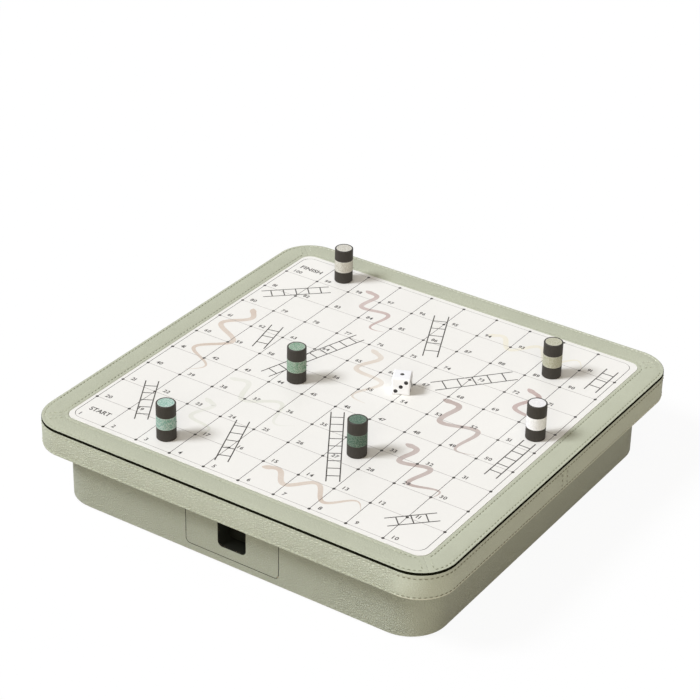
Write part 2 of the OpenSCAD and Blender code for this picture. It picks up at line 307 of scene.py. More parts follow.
# Painted highlight along the band's lower lip.
lip_highlight_colour = (205, 205, 187)
lip_h = 1.1 * MM
band_thread_shade = (124, 122, 103)
band_relief = 0.55 * MM
band_sage = (190, 194, 176)
pale_from = 10.0 * MM
pale_to = 150.0 * MM
# Painted highlight on the front's upper row of thread.
front_thread_highlight = (211, 213, 196)
front_from = -60.0 * MM
front_to = 60.0 * MM


def thread(name, colour):
    """Waxed linen thread, its colour made by a function of the place."""
    material, shader, place = new_finish(name, {"Specular IOR Level": 0.2})
    strands = place.noise(1800.0, 3.0, 0.7)
    (0.25 * strands.rise(0.25, 0.75)).mix(colour(place), tint(sage_deep)).into(shader, "Base Color")
    (0.6 + 0.25 * strands).into(shader, "Roughness")
    strands.bump(0.5, 0.15 * MM).into(shader, "Normal")
    return material


def band_thread_colour(place):
    """Leather-coloured thread, with a painted highlight along the front's upper row, and painted shade on the
    right side.

    The lower row on the right side goes from painted shade to a painted highlight towards the back.
    """
    upper = place.part(2) > band_rows[1] - row_half
    front = (upper * place.part(0).rise(front_from, front_to)).mix(tint(sage), tint(front_thread_highlight))
    lower = place.part(1).rise(pale_from, pale_to).mix(tint(band_thread_shade), tint(band_thread_highlight))
    return place.part(0).rise(side_from, side_to).mix(front, upper.mix(lower, tint(band_thread_shade)))


def worn_lip(place):
    """1 on the band's lower lip along the right side's front half, where a pale painted highlight lies, 0
    elsewhere.
    """
    front_half = place.part(0).rise(side_from, side_to) * (1 - place.part(1).rise(pale_from, pale_to))
    return front_half * (place.part(2) < band_low + lip_h)


band_thread = thread("band_thread", band_thread_colour)
band_leather = leather("band_leather", band_sage, sage_deep, band_relief, worn_lip, lip_highlight_colour)


def side_run(half, corner, step, extra=()):
    """Stations (x, y, outward x, outward y) along the right side of a rounded square, between its mitres."""
    flat = half - corner
    turns = np.linspace(-math.pi / 4, 0, max(8, round(corner * math.pi / 4 / step)), endpoint=False)
    below = [(flat + corner * math.cos(a), corner * math.sin(a) - flat, math.cos(a), math.sin(a))
             for a in turns]
    places = sorted(set(np.linspace(-flat, flat, round(2 * flat / step))) | set(extra))
    above = [(x, -y, out_x, -out_y) for x, y, out_x, out_y in reversed(below)]
    return np.array(below + [(half, y, 1.0, 0.0) for y in places] + above)


def quarter_turned(points, quarters):
    """Pairs of x and y in each row, turned by that many quarters."""
    for _ in range(quarters % 4):
        points = np.stack([-points[:, 1], points[:, 0], -points[:, 3], points[:, 2]], axis=1)
    return points


def closed_run(half, corner, step, extra=()):
    """Stations all round a rounded square, with the extra ones on its right side."""
    sides = [side_run(half, corner, step, extra)]
    sides += [side_run(half, corner, step)] * 3
    return np.concatenate([quarter_turned(side, i)[:-1] for i, side in enumerate(sides)])


def swept(run, profile):
    """Grid of points, one line of the profile's (outward, z) at each station."""
    outward, height = np.array(profile).T
    x = run[:, 0, None] + run[:, 2, None] * outward
    y = run[:, 1, None] + run[:, 3, None] * outward
    return np.stack([x, y, np.broadcast_to(height, x.shape)], axis=2)


def run_length(path, closed=False):
    """Length along a path at each of its points, and in all."""
    ahead = np.roll(path, -1, axis=0) if closed else path[1:]
    steps = np.linalg.norm(ahead - path[:len(ahead)], axis=1)
    along = np.concatenate([[0.0], np.cumsum(steps)])
    return along[:len(path)], along[-1]


def stitch_holes(along, total):
    """1 where the needle went in, 0 half way between two holes."""
    return 0.5 + 0.5 * np.cos(2 * math.pi * along / (total / round(total / stitch_pitch)))


def stitch_places(path, outward, closed=False):
    """Middle, direction and outward direction of each stitch of a row."""
    along, total = run_length(path, closed)
    if closed:
        path, outward = np.concatenate([path, path[:1]]), np.concatenate([outward, outward[:1]])
        along = np.append(along, total)
    count = round(total / stitch_pitch)
    middles = (np.arange(count) + 0.5) * total / count

    def at(values, where):
        return np.stack([np.interp(where, along, values[:, k]) for k in range(3)], axis=1)

    ahead = at(path, middles + 0.3 * stitch_l) - at(path, middles - 0.3 * stitch_l)
    return at(path, middles), ahead, at(outward, middles)


def unit(vectors):
    return vectors / np.linalg.norm(vectors, axis=1, keepdims=True)


def stitches(rows):
    """Points and faces of those rows: short bowed lengths of thread that dive into their holes."""
    rings, sides = stitch_rings, stitch_sides
    reach = np.linspace(-1, 1, rings)
    thick = stitch_d / 2 * (1 - np.abs(reach) ** 4 * 0.6)
    lift = stitch_d * (0.25 - 0.8 * reach ** 4)
    angle = np.arange(sides) * 2 * math.pi / sides
    along = np.repeat(reach * stitch_l / 2, sides)
    across = (thick[:, None] * np.cos(angle)).ravel()
    up = (lift[:, None] + thick[:, None] * np.sin(angle)).ravel()
    skin = []
    for here in range(0, (rings - 1) * sides, sides):
        there = here + sides
        skin += [[here + s, here + (s + 1) % sides, there + (s + 1) % sides, there + s] for s in range(sides)]
    skin += [list(range(sides))[::-1], [(rings - 1) * sides + s for s in range(sides)]]
    points, faces = [], []
    for middle, ahead, outward in rows:
        ahead, outward = unit(ahead), unit(outward)
        beside = np.cross(outward, ahead)
        ahead = math.cos(stitch_slant) * ahead + math.sin(stitch_slant) * beside
        beside = np.cross(outward, ahead)
        for m, a, b, o in zip(middle, ahead, beside, outward):
            faces += [[v + len(points) * len(along) for v in face] for face in skin]
            points.append(m + along[:, None] * a + across[:, None] * b + up[:, None] * o)
    return np.concatenate(points), faces


def grid_faces(stations, lines, closed):
    """Faces between the lines of a swept grid, with flat ends where the run isn't closed."""
    grid = np.arange(stations * lines).reshape(stations, lines)
    if closed:
        grid = np.concatenate([grid, grid[:1]])
    grid = np.concatenate([grid, grid[:, :1]], axis=1)
    corners = [grid[:-1, :-1], grid[1:, :-1], grid[1:, 1:], grid[:-1, 1:]]
    faces = np.stack(corners, axis=2).reshape(-1, 4).tolist()
    if not closed:
        faces += [grid[0, :lines].tolist(), grid[-1, :lines][::-1].tolist()]
    return faces


def make_piece(name, points, faces, finishes, body, slot, marks=None):
    """Mesh piece in the row frame that rides on a body, with a finish for each face."""
    mesh = bpy.data.meshes.new(name)
    mesh.from_pydata(np.asarray(points).reshape(-1, 3).tolist(), [], faces)
    for finish in finishes:
        mesh.materials.append(finish)
    if marks is not None:
        mesh.polygons.foreach_set("material_index", marks)
    mesh.polygons.foreach_set("use_smooth", [True] * len(faces))
    mesh.set_sharp_from_angle(angle=SHARP_EDGE)
    mesh.update()
    piece = bpy.data.objects.new(name, mesh)
    bpy.context.scene.collection.objects.link(piece)
    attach(piece, body)
    return piece


def sewn_groove(place):
    """Lines across a sewn row, from lip to floor to lip, each with its place, depth and share of the pull."""
    slope = 0.45 * row_half
    return [(place - row_half, 0.0, 0.0), (place - slope, 0.6 * row_depth, 0.3), (place, row_depth, 1.0),
            (place + slope, 0.6 * row_depth, 0.3), (place + row_half, 0.0, 0.0)]


band_run = closed_run(top_half, top_corner, run_step, [lap_y + k * lap_half / 4 for k in range(-4, 5)])
low_row, high_row = sewn_groove(band_rows[0]), sewn_groove(band_rows[1])
band_lines = [(-band_t, band_low, 0.0), (-band_edge, band_low, 0.0)]
band_lines += [(-band_turn, band_low + band_turn, 0.0), (0.0, band_low + band_edge, 0.0)]
band_lines += [(-depth, z, pull) for z, depth, pull in low_row + high_row]
band_lines += [(0.0, band_high - band_edge, 0.0), (-band_turn, band_high - band_turn, 0.0)]
band_lines += [(-band_edge, band_high, 0.0), (-band_t, band_high, 0.0)]
band_profile = [(outward, z) for outward, z, pull in band_lines]
band_points = swept(band_run, band_profile)
band_out = np.stack([band_run[:, 2], band_run[:, 3], np.zeros(len(band_run))], axis=1)
lap_near = np.where(band_run[:, 2] > 0.999, np.abs(band_run[:, 1] - lap_y), lap_half)
lap_dent = lap_depth * np.clip(1 - lap_near / lap_half, 0, 1) ** 2
for line, (outward, z, pull) in enumerate(band_lines):
    holes = stitch_holes(*run_length(band_points[:, line], True))
    inward = row_pull * pull * holes + (lap_dent if outward > -band_edge else 0)
    band_points[:, line] -= band_out * inward[:, None]
band = make_piece("sewn_edge_band", band_points, grid_faces(len(band_run), len(band_lines), True),
                  [band_leather], "board", "leather")
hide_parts("edge_band")

band_sewing = []
for z in band_rows:
    path = swept(band_run, [(-0.6 * row_depth, z)])[:, 0]
    band_sewing.append(stitch_places(path, band_out, True))
for y in lap_rows:
    heights = np.linspace(band_rows[0] + 2 * row_half, band_rows[1] - 2 * row_half, lap_steps)
    path = np.stack([np.full(lap_steps, top_half - 0.3 * row_depth), np.full(lap_steps, y), heights], axis=1)
    band_sewing.append(stitch_places(path, np.tile([1.0, 0.0, 0.0], (lap_steps, 1))))
make_piece("edge_band_stitches", *stitches(band_sewing), [band_thread], "board", "leather")


# Leather frame: four mitred strips of thick bridle leather round the playing panel, glued to the core.
# Each is sewn all round, and its cut outer edge is burnished and painted nearly black.
# Its thread matches the leather along the front, is darkened along the sides as painted shade, and is
# lightened along the back as a painted highlight.
frame_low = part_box("frame_front")[0][2]
frame_w = 22.8 * MM
mitre_gap = 0.06 * MM
frame_round = 0.7 * MM
frame_crown = 0.15 * MM
outer_row = -3.0 * MM
inner_row = 3.5 * MM - frame_w
mitre_row = 4.2 * MM
mitre_drop = 0.14 * MM
mitre_reach = 0.9 * MM
# The frame's thread has the leather's colour; the dark thread colour is painted shade in the stitch rows, and
# the pale one a painted highlight.
frame_thread_shade = (148, 151, 128)
frame_thread_highlight = (222, 224, 209)
front_back_from = 175.0 * MM
back_highlight_to = 185.0 * MM
mitre_end = 187.0 * MM
corner_from = 160.0 * MM
frame_relief = 0.14 * MM
frame_sage = (190, 193, 171)
frame_crease = (173, 176, 154)


def frame_thread_colour(place):
    """Thread darkened at the sides as painted shade, leather-coloured in front and at its corners, and
    lightened at the back as a painted highlight.
    """
    behind, across = place.part(1), place.part(0).size()
    straight = across < side_from
    mitred = ((across + behind).size() < 2 * mitre_row) * (across < mitre_end) * (behind > -mitre_end)
    left_corner = (place.part(0) < 0) * (behind < -corner_from)
    in_front = (behind < -front_back_from) * straight.math("MAXIMUM", straight, mitred)
    in_front = in_front.math("MAXIMUM", in_front, left_corner)
    thread_with_side_shade = in_front.mix(tint(frame_thread_shade), tint(sage))
    return behind.rise(front_back_from, back_highlight_to).mix(thread_with_side_shade, tint(frame_thread_highlight))


frame_thread = thread("frame_thread", frame_thread_colour)
frame_leather = leather("frame_leather", frame_sage, frame_crease, frame_relief)
painted_edge, shader, place = new_finish("painted_edge", {"Specular IOR Level": 0.0})
brushed = place.noise(240.0, 4.0, 0.65)
brushed.mix(tint(edge_dark, 0.7), tint(edge_dark, 1.4)).into(shader, "Base Color")
(0.55 + 0.25 * brushed).into(shader, "Roughness")
brushed.bump(0.2, 0.2 * MM).into(shader, "Normal")

strip_lines = [(0.0, frame_low, 0.0), (0.0, top_z - frame_round, 0.0)]
for inset, drop in ((0.12, 0.5), (0.45, 0.14), (1.0, 0.0)):
    strip_lines.append((-inset * frame_round, top_z - drop * frame_round, 0.0))
strip_lines += [(place, top_z - depth, pull) for place, depth, pull in sewn_groove(outer_row)[::-1]]
for share in (0.25, 0.5, 0.75):
    across = outer_row + share * (inner_row - outer_row)
    strip_lines.append((across, top_z + frame_crown * math.sin(share * math.pi), 0.0))
strip_lines += [(place, top_z - depth, pull) for place, depth, pull in sewn_groove(inner_row)[::-1]]
for inset, drop in ((1.0, 0.0), (0.4, 0.15), (0.0, 0.6)):
    strip_lines.append((inset * frame_round - frame_w, top_z - drop * frame_round, 0.0))
strip_lines.append((-frame_w, frame_low, 0.0))
strip_profile = [(outward, z) for outward, z, pull in strip_lines]
painted_lines = 3

strip_run = side_run(top_half, top_corner, run_step)
strip_points = swept(strip_run, strip_profile)
strip_ahead = np.stack([-strip_run[:, 3], strip_run[:, 2], np.zeros(len(strip_run))], axis=1)
for line, (outward, z, pull) in enumerate(strip_lines):
    along, total = run_length(strip_points[:, line])
    to_mitre = np.minimum(along, total - along)
    sewn = to_mitre > mitre_row
    holes = np.where(sewn, stitch_holes(along - mitre_row, total - 2 * mitre_row), 0.0)
    edge_mark = mitre_drop * np.clip(1 - to_mitre / mitre_reach, 0, 1) ** 2
    strip_points[:, line, 2] -= row_pull * pull * holes + (edge_mark if z > frame_low else 0)
    strip_points[0, line] += strip_ahead[0] * mitre_gap / 2
    strip_points[-1, line] -= strip_ahead[-1] * mitre_gap / 2

strip_faces = grid_faces(len(strip_run), len(strip_lines), False)
strip_marks = ([1] * painted_lines + [0] * (len(strip_lines) - painted_lines)) * (len(strip_run) - 1) + [1, 1]

strip_sewing = []
row_ends = []
for row in (outer_row, inner_row):
    path = swept(strip_run, [(row, top_z - 0.7 * row_depth)])[:, 0]
    along, total = run_length(path)
    inside = (along > mitre_row) & (along < total - mitre_row)
    path = path[inside]
    row_ends.append((path[0], path[-1]))
    strip_sewing.append(stitch_places(path, np.tile([0.0, 0.0, 1.0], (len(path), 1))))
for outer_end, inner_end in zip(*row_ends):
    shares = np.linspace(0.1, 0.9, 9)[:, None]
    path = outer_end + shares * (inner_end - outer_end)
    path[:, 2] = top_z - 0.3 * row_depth + frame_crown * np.sin(shares[:, 0] * math.pi)
    strip_sewing.append(stitch_places(path, np.tile([0.0, 0.0, 1.0], (len(path), 1))))
sewing_points, sewing_faces = stitches(strip_sewing)

for side, quarters in (("right", 0), ("back", 1), ("left", 2), ("front", 3)):
    turn = np.array(Matrix.Rotation(quarters * math.pi / 2, 3, "Z"))
    strip = make_piece("frame_strip_" + side, strip_points.reshape(-1, 3) @ turn.T, strip_faces,
                       [frame_leather, painted_edge], "board", "leather", strip_marks)
    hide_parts("frame_" + side)
    make_piece("frame_stitches_" + side, sewing_points @ turn.T, sewing_faces,
               [frame_thread], "board", "leather")


# Playing panel: a stiff board faced with white matt laminate, let in flush with the leather frame and glued.
# The laminate has a faint paper tooth, and a trace of grey where it has been handled.
laminate_white = (243, 241, 234)
panel_edge = 0.3 * MM
panel_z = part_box("playing_panel")[1][2]

white_laminate, shader, place = new_finish("white_laminate", {"Specular IOR Level": 0.35})
handled = place.noise(11.0, 4.0, 0.6)
tooth = place.noise(2400.0, 2.0)
handled.rise(0.35, 0.7).mix(tint(laminate_white), tint(laminate_white, 0.975)).into(shader, "Base Color")
(0.42 + 0.12 * handled).into(shader, "Roughness")
tooth.bump(0.06, 0.05 * MM).into(shader, "Normal")
dress(["playing_panel"], white_laminate, panel_edge)


# Printed snakes: ten pale ribbon-like snakes under the grid, in dusty rose, tan, cream and grey-green.
# Screen-printed inks on the laminate, each a thin film that thins and thickens along the body.
square = 34.5 * MM
squares = 10
snake_film = 0.02 * MM
snake_head = 0.24
snake_swell = 0.35
snake_steps = 140
print_shift = np.array([-1.1 * MM, 0.0])
SNAKES = [
    ("tan", (0.5, 6.8), (0.95, 3.3), 2.5, 0.36, 4.9),
    ("rose", (2.35, 9.35), (3.95, 7.75), 2.0, 0.3, 4.6),
    ("cream", (6.2, 9.2), (9.0, 9.1), 2.5, 0.3, 4.6),
    ("sand", (4.2, 6.85), (5.5, 4.55), 2.0, 0.34, 4.8),
    ("brown", (6.95, 5.85), (8.9, 4.1), 2.0, 0.38, 5.2),
    ("moss", (2.1, 3.6), (4.7, 2.7), 2.0, 0.34, 4.8),
    ("brown", (7.3, 3.6), (9.0, 1.9), 2.5, 0.32, 5.0),
    ("tan", (5.1, 0.8), (8.0, 0.6), 2.5, 0.26, 4.8),
    ("moss", (2.2, 2.5), (3.05, 1.0), 1.5, 0.26, 4.4),
    ("rose", (8.4, 7.5), (9.3, 5.8), 1.5, 0.3, 4.7),
]
SNAKE_INKS = {
    "tan": ((226, 215, 202), (208, 191, 175)),
    "rose": ((213, 199, 192), (190, 167, 160)),
    "cream": ((242, 238, 224), (236, 230, 208)),
    "sand": ((233, 226, 214), (219, 207, 193)),
    "brown": ((208, 197, 190), (185, 168, 160)),
    "moss": ((236, 235, 226), (226, 226, 213)),
}


def on_panel(column, row):
    """Place on the panel of a point counted in squares from the print's front left corner."""
    return (np.array([column, row]) - squares / 2) * square + print_shift


def snake_outline(head, tail, waves, sway, width):
    """Left and right edges of a tapering, waving body from head to tail, in metres on the panel."""
    share = np.linspace(0, 1, snake_steps)
    head, tail = on_panel(*head), on_panel(*tail)
    ahead = (tail - head) / np.linalg.norm(tail - head)
    beside = np.array([-ahead[1], ahead[0]])
    swing = sway * square * np.sin(2 * math.pi * waves * share) * np.minimum(1, 4 * share + 0.15)
    middle = head + share[:, None] * (tail - head) + swing[:, None] * beside
    facing = np.gradient(middle, axis=0)
    facing /= np.linalg.norm(facing, axis=1, keepdims=True)
    across = np.stack([-facing[:, 1], facing[:, 0]], axis=1)
    along = np.concatenate([[0], np.cumsum(np.linalg.norm(np.diff(middle, axis=0), axis=1))])
    nose = along / (snake_head * square)
    snout = np.sqrt(np.clip(1 - (nose - 1) ** 2, 0, 1)) * (1 + snake_swell * np.sin(math.pi * nose))
    body = np.where(nose < 1, snout, 1)
    half = width * MM / 2 * body * np.clip(1 - share ** 4, 0.1, 1)
    return middle + half[:, None] * across, middle - half[:, None] * across


def film(points, faces, left, right, low, high):
    """Adds a closed film between two edges, from height low to high."""
    first = len(points)
    for a, b in zip(left, right):
        points += [(a[0], a[1], low), (b[0], b[1], low), (b[0], b[1], high), (a[0], a[1], high)]
    for s in range(len(left) - 1):
        here, there = first + 4 * s, first + 4 * s + 4
        faces += [[here + k, here + (k + 1) % 4, there + (k + 1) % 4, there + k] for k in range(4)]
    faces += [[first + 3, first + 2, first + 1, first], [len(points) - 4 + k for k in range(4)]]


inks = {}
for ink, (light, deep) in SNAKE_INKS.items():
    inks[ink], shader, place = new_finish("snake_ink_" + ink, {"Specular IOR Level": 0.35})
    wash = place.noise(26.0, 2.0).rise(0.35, 0.65)
    dots = place.noise(600.0, 3.0, 0.7).rise(0.3, 0.7)
    (0.6 * wash + 0.4 * dots).mix(tint(light), tint(deep)).into(shader, "Base Color")
    (0.42 + 0.12 * dots).into(shader, "Roughness")
for number, (ink, head, tail, waves, sway, width) in enumerate(SNAKES, 1):
    left, right = snake_outline(head, tail, waves, sway, width)
    points, faces = [], []
    film(points, faces, left, right, panel_z, panel_z + snake_film)
    make_piece("printed_snake_%d" % number, points, faces, [inks[ink]], "board", "panel")


# Printed grid: a hundred squares, ruled in black from front to back and in grey from side to side.
# Screen-printed hair lines, with a dot where they cross and a line with round corners outside.
grid_film = 0.03 * MM
column_line = 0.5 * MM
row_line = 0.5 * MM
border_corner = 9.2 * MM
dot_d = 2.75 * MM
dot_sides = 20
ink_black = (62, 58, 54)
ink_grey = (172, 168, 163)
field_half = squares / 2 * square


def line_ink(name, colour):
    """Screen ink of a colour, a little uneven in its cover."""
    material, shader, place = new_finish(name, {"Specular IOR Level": 0.3})
    coverage = place.noise(1300.0, 3.0, 0.6)
    coverage.rise(0.3, 0.75).mix(tint(colour, 0.8), tint(colour, 1.4)).into(shader, "Base Color")
    (0.45 + 0.15 * coverage).into(shader, "Roughness")
    return material


def bar(points, faces, start, end, width, high):
    """Adds a straight printed line between two points on the panel."""
    start, end = np.array(start), np.array(end)
    ahead = (end - start) / np.linalg.norm(end - start)
    across = np.array([-ahead[1], ahead[0]]) * width / 2
    left, right = [start + across, end + across], [start - across, end - across]
    film(points, faces, left, right, panel_z, panel_z + high)


def dot(points, faces, middle, across, high):
    """Adds a round printed dot."""
    low, top = len(points), len(points) + dot_sides
    angle = np.arange(dot_sides) * 2 * math.pi / dot_sides
    ring = [(middle[0] + across / 2 * math.cos(a), middle[1] + across / 2 * math.sin(a)) for a in angle]
    points += [(x, y, panel_z) for x, y in ring] + [(x, y, panel_z + high) for x, y in ring]
    for s in range(dot_sides):
        after = (s + 1) % dot_sides
        faces.append([low + s, low + after, top + after, top + s])
    faces += [[low + s for s in reversed(range(dot_sides))], [top + s for s in range(dot_sides)]]


black_ink = line_ink("black_ink", ink_black)
grey_ink = line_ink("grey_ink", ink_grey)
column_points, column_faces, row_points, row_faces = [], [], [], []
for k in range(1, squares):
    bar(column_points, column_faces, on_panel(k, 0), on_panel(k, squares), column_line, grid_film)
    bar(row_points, row_faces, on_panel(0, k), on_panel(squares, k), row_line, 0.9 * grid_film)
make_piece("printed_columns", column_points, column_faces, [black_ink], "board", "panel")
make_piece("printed_rows", row_points, row_faces, [grey_ink], "board", "panel")

border_run = closed_run(field_half, border_corner, 4 * run_step)
border_run[:, :2] += print_shift
border_half = column_line / 2
border_profile = [(-border_half, panel_z), (border_half, panel_z), (border_half, panel_z + grid_film),
                  (-border_half, panel_z + grid_film)]
border_marks = np.repeat(np.where(np.abs(border_run[:, 2]) > 0.7, 0, 1), len(border_profile)).tolist()
border_faces = grid_faces(len(border_run), len(border_profile), True)
make_piece("printed_border", swept(border_run, border_profile), border_faces,
           [black_ink, grey_ink], "board", "panel", border_marks)

points, faces = [], []
for i in range(squares + 1):
    for j in range(squares + 1):
        if i % squares or j % squares:
            dot(points, faces, on_panel(i, j), dot_d, 1.5 * grid_film)
make_piece("printed_dots", points, faces, [black_ink], "board", "panel")


# Printed ladders: eleven ladders of two rails and even rungs, from one square up to a later one.
# Drawn in the same black ink, with the rails running on past the end rungs.
ladder_line = 1.0 * MM
ladder_film = 0.04 * MM
LADDERS = [
    ((1.53, 0.79), (0.64, 2.36), 0.32, 5),
    ((4.20, 0.43), (3.57, 2.16), 0.32, 5),
    ((6.81, 1.23), (5.19, 3.82), 0.32, 9),
    ((8.71, 0.56), (9.57, 1.43), 0.32, 3),
    ((0.22, 7.58), (1.54, 8.82), 0.32, 5),
    ((1.55, 6.41), (1.79, 5.22), 0.32, 3),
    ((2.70, 4.26), (3.61, 7.17), 0.32, 9),
    ((4.72, 9.35), (5.58, 7.40), 0.375, 5),
    ((6.42, 6.20), (7.82, 7.84), 0.385, 5),
    ((9.67, 5.36), (9.66, 3.54), 0.32, 5),
    ((9.69, 9.49), (9.69, 8.29), 0.32, 3),
]

points, faces = [], []
for foot, head, apart, rungs in LADDERS:
    foot, head = on_panel(*foot), on_panel(*head)
    ahead = (head - foot) / np.linalg.norm(head - foot)
    beside = np.array([-ahead[1], ahead[0]]) * apart * square / 2
    for side in (beside, -beside):
        bar(points, faces, foot + side, head + side, ladder_line, ladder_film)
    for k in range(rungs):
        rung = foot + (k + 0.75) / (rungs + 0.5) * (head - foot)
        bar(points, faces, rung - beside, rung + beside, ladder_line, 0.9 * ladder_film)
make_piece("printed_ladders", points, faces, [black_ink], "board", "panel")


# Printed numbers: 1 to 100, there and back from the front left corner, with a word on the end squares.
# Set in a plain sans-serif along the drawer side, in the same black ink.
number_film = 0.045 * MM
number_h = 4.4 * MM
number_step = 3.2 * MM
one_step = 0.72
number_left = 0.155
number_base = 0.098
number_weight = 0.02
word_h = 5.6 * MM
WORDS = [("START", (0.21, 0.41), 0.615), ("FINISH", (0.18, 9.374), 0.66)]


def glyphs(text):
    """Points and faces of a piece of lettering one unit high, standing on y = 0 from x = 0."""
    letters = bpy.data.curves.new("lettering", "FONT")
    letters.body = text
    letters.extrude = 0.5
    letters.offset = number_weight
    letters.resolution_u = 4
    holder = bpy.data.objects.new("lettering", letters)
    bpy.context.scene.collection.objects.link(holder)
    bpy.context.view_layer.update()
    mesh = holder.evaluated_get(bpy.context.evaluated_depsgraph_get()).to_mesh()
    shape = np.array([v.co[:] for v in mesh.vertices])
    faces = [list(p.vertices) for p in mesh.polygons]
    bpy.data.objects.remove(holder)
    shape[:, :2] -= shape[:, :2].min(axis=0)
    height = shape[:, 1].max()
    shape[:, :2] /= height
    return shape, faces


def set_type(points, faces, glyph, corner, height, width=None):
    """Adds lettering of that height with its lower left corner there, as a film on the panel."""
    shape, sides = glyph
    stretch = width / shape[:, 0].max() if width else height
    first = len(points)
    for x, y, z in shape:
        points.append((corner[0] + x * stretch, corner[1] + y * height, panel_z + (z + 0.5) * number_film))
    faces += [[first + v for v in face] for face in sides]


digits = {str(d): glyphs(str(d)) for d in range(10)}
points, faces = [], []
for number in range(1, squares ** 2 + 1):
    row, step = divmod(number - 1, squares)
    column = squares - 1 - step if row % 2 else step
    x, y = on_panel(column + number_left, row + number_base)
    for digit in str(number):
        set_type(points, faces, digits[digit], (x, y), number_h)
        x += number_step * (one_step if digit == "1" else 1)
for word, (column, row), width in WORDS:
    set_type(points, faces, glyphs(word), on_panel(column, row), word_h, width * square)
make_piece("printed_numbers", points, faces, [black_ink], "board", "panel")


# Felt: a sheet under the base that keeps it from sliding, and a piece on the drawer's bottom.
# Pressed grey wool felt, cut to size and glued.
felt_grey = (87, 88, 76)
felt_edge = 0.4 * MM

grey_felt, shader, place = new_finish("grey_felt", {"Specular IOR Level": 0.1})
fibres = place.noise(900.0, 6.0, 0.8)
tufts = place.noise(90.0, 3.0)
fibres.rise(0.3, 0.7).mix(tint(felt_grey, 0.7), tint(felt_grey, 1.3)).into(shader, "Base Color")
(0.86 + 0.1 * tufts).into(shader, "Roughness")
(fibres + 0.5 * tufts).bump(0.7, 0.5 * MM).into(shader, "Normal")
dress(["base_felt", "drawer_lining"], grey_felt, felt_edge)


# Drawer: a birch box with a leather-faced front that slides in the base, pulled by a finger window.
# The box is glued and pinned, and the walls of its finger window are coloured nearly black, as painted shade
# inside the window.
window_painted_shade = (24, 25, 17)
window_reach = 15.0 * MM
window_mid = 30.6 * MM


def window_faces(place):
    """1 on the walls of the finger window, 0 elsewhere."""
    up = place.part(2) - window_mid
    return cut_faces(place) * (place.part(0).size() < window_reach) * (up.size() < window_reach)


facing_leather = leather("drawer_facing_leather", base_sage, sage_deep, base_relief, cut_faces)
front_birch = birch("drawer_front_birch", 0, window_faces, window_painted_shade)
dress(["drawer_facing"], facing_leather, cut_edge)
dress(["drawer_front"], front_birch, planed_edge)
dress(["drawer_side_left", "drawer_side_right"], birch_y, planed_edge)
dress(["drawer_back", "drawer_bottom"], birch_x, planed_edge)


# Counters: six turned wooden counters stained dark, each with a band and a top disc of coloured leather.
# The band is wrapped round the waist between foot and cap, and the disc is let into the cap and glued.
counter_dark = (50, 46, 40)
turned_edge = 0.25 * MM
ring_edge = 0.2 * MM
# Pale rims on the bands and discs: a painted highlight along their cut edges.
rim_highlight_reach = 1.3 * MM
rim_highlight_share = 0.6
# Each leather: a light and a deep colour, and a factor that darkens its band against its disc, as painted
# shade.
COUNTER_LEATHERS = {
    "mint": ((207, 222, 213), (120, 172, 153), 0.76),
    "bone": ((224, 222, 212), (192, 188, 174), 0.9),
    "green": ((184, 196, 180), (100, 146, 116), 0.8),
    "forest": ((124, 140, 126), (56, 92, 72), 0.8),
    "olive": ((207, 205, 188), (174, 173, 144), 0.84),
    "white": ((247, 246, 244), (232, 231, 229), 0.95),
}

dark_stain, shader, place = new_finish("dark_stained_wood", {"Specular IOR Level": 0.35})
turned = place.stretched((1.0, 1.0, 0.25))
fibre = turned.noise(1400.0, 4.0, 0.7)
fibre.rise(0.25, 0.75).mix(tint(counter_dark, 0.75), tint(counter_dark, 1.35)).into(shader, "Base Color")
(0.5 + 0.2 * fibre).into(shader, "Roughness")
fibre.bump(0.15, 0.1 * MM).into(shader, "Normal")


def counter_leather(name, light, deep, edge_mark, shade=1.0):
    """Leather speckled with a light and a deep colour, made darker by shade as painted shade on a band, and
    with a pale painted highlight where its mask says.
    """
    material, shader, place = new_finish(name, {"Specular IOR Level": 0.3})
    specks = place.noise(1000.0, 2.0, 0.7)
    nap = place.noise(2600.0, 2.0)
    dyed = specks.rise(0.4, 0.62).mix(tint(deep, shade), tint(light, shade))
    (rim_highlight_share * edge_mark(place)).mix(dyed, tint(light, shade)).into(shader, "Base Color")
    (0.6 + 0.2 * nap).into(shader, "Roughness")
    (specks + 0.4 * nap).bump(0.35, 0.15 * MM).into(shader, "Normal")
    return material


for colour, (light, deep, ring_painted_shade) in COUNTER_LEATHERS.items():
    disc_low, disc_high = [Vector(corner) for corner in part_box(colour + "_disc")]
    ring_low, ring_high = [Vector(corner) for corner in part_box(colour + "_ring")]
    disc_mid, disc_r = (disc_low + disc_high) / 2, (disc_high.x - disc_low.x) / 2
    ring_mid, ring_half = (ring_low.z + ring_high.z) / 2, (ring_high.z - ring_low.z) / 2

    def disc_rim(place):
        """1 at the disc's cut edge, 0 inside it."""
        sockets = {0: place.stretched((1, 1, 0)), 1: (disc_mid.x, disc_mid.y, 0)}
        from_axis = place.node("ShaderNodeVectorMath", {"operation": "DISTANCE"}, sockets, "Value")
        return from_axis.rise(disc_r - rim_highlight_reach, disc_r)

    def ring_rims(place):
        """1 at the ring's two cut edges, 0 between them."""
        return (place.part(2) - ring_mid).size().rise(ring_half - rim_highlight_reach, ring_half)

    dress([colour + "_foot", colour + "_cap"], dark_stain, turned_edge)
    ring_leather = counter_leather(colour + "_ring_leather", light, deep, ring_rims, ring_painted_shade)
    dress([colour + "_ring"], ring_leather, ring_edge)
    dress([colour + "_disc"], counter_leather(colour + "_disc_leather", light, deep, disc_rim), ring_edge)


# Die: a tumbled cube of white plastic, sixteen millimetres wide, with its pips filled with black paint.
# Moulded, then barrelled until its edges are round.
die_white = (248, 248, 248)
pip_black = (38, 36, 34)
die_edge = 0.15 * MM

